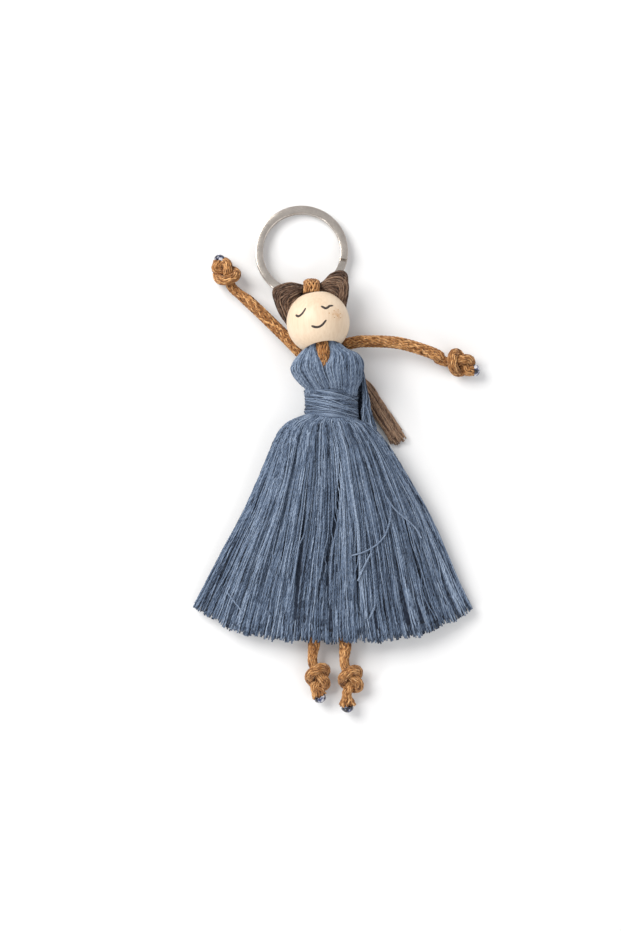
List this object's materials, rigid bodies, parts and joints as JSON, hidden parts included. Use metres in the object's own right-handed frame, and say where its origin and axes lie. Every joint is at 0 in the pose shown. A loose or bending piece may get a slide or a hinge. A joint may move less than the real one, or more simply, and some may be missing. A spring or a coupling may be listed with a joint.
{
  "type": "yarn doll",
  "caption": "Small yarn doll on a split key ring: wooden bead head, knotted cord arms and legs, hair and a fringed yarn dress.",
  "frame": {"origin": "middle of the doll's outline, on the surface it lies on", "axes": "+Z out of the surface, from the doll's back to its face; +Y from the feet to the key ring; +X to the right as seen facing it"},
  "size_m": [0.0934, 0.1634, 0.0238],
  "materials": {
    "steel": "satin nickel-plated split ring",
    "wood": "pale unvarnished turned wood",
    "tan_cord": "braided cotton cord, cinnamon",
    "brown_yarn": "dark brown plied yarn",
    "blue_yarn": "dusty blue plied yarn",
    "sealed_end": "melted, glossy cord end"
  },
  "bodies": {
    "dress": {"neck_cord_front": "tan_cord", "neck_cord_back": "tan_cord", "arm_cord_middle": "tan_cord", "bodice_left": "blue_yarn", "bodice_right": "blue_yarn", "waist_gather": "blue_yarn", "waist_wrap": "blue_yarn", "side_strands": "blue_yarn", "skirt_front": "blue_yarn", "skirt_back": "blue_yarn", "hair_left": "brown_yarn", "hair_right": "brown_yarn", "hair_tie": "brown_yarn"},
    "head": {"head_bead": "wood"},
    "loop": {"cord_loop": "tan_cord"},
    "ring": {"key_ring": "steel"},
    "left_arm": {"arm_left": "tan_cord", "arm_left_tip": "sealed_end"},
    "right_arm": {"arm_right": "tan_cord", "arm_right_tip": "sealed_end"},
    "left_leg": {"leg_left": "tan_cord", "leg_left_tip": "sealed_end"},
    "right_leg": {"leg_right": "tan_cord", "leg_right_tip": "sealed_end"},
    "tail": {"ponytail": "brown_yarn"}
  },
  "joints": [
    {"name": "head_turn", "type": "hinge", "parent": "dress", "child": "head", "pos_m": [-0.00595, 0.0432, 0.0138], "axis": [-0.1677, 0.9513, -0.2588], "continuous": true},
    {"name": "loop_lift", "type": "hinge", "parent": "dress", "child": "loop", "pos_m": [-0.0074, 0.05144, 0.01156], "axis": [1, 0, 0], "range_deg": [0, 15]},
    {"name": "ring_turn", "type": "hinge", "parent": "loop", "child": "ring", "pos_m": [-0.01125, 0.0667, 0.00277], "axis": [0, 0.0984, 0.9951], "continuous": true},
    {"name": "arm_left_swing", "type": "hinge", "parent": "dress", "child": "left_arm", "pos_m": [-0.01184, 0.03436, 0.0073], "axis": [0, 0, 1], "range_deg": [-4, 60]},
    {"name": "arm_right_swing", "type": "hinge", "parent": "dress", "child": "right_arm", "pos_m": [0.00215, 0.0365, 0.0061], "axis": [0, 0, 1], "range_deg": [-20, 25]},
    {"name": "leg_left_swing", "type": "hinge", "parent": "dress", "child": "left_leg", "pos_m": [-0.00425, 0.0099, 0.008], "axis": [0, 0, 1], "range_deg": [-8, 0]},
    {"name": "leg_right_swing", "type": "hinge", "parent": "dress", "child": "right_leg", "pos_m": [0.00095, 0.0099, 0.008], "axis": [0, 0, 1], "range_deg": [0, 8]},
    {"name": "ponytail_swing", "type": "hinge", "parent": "dress", "child": "tail", "pos_m": [0.00373, 0.029, 0.0015], "axis": [0, 0, 1], "range_deg": [-8, 25]}
  ]
}
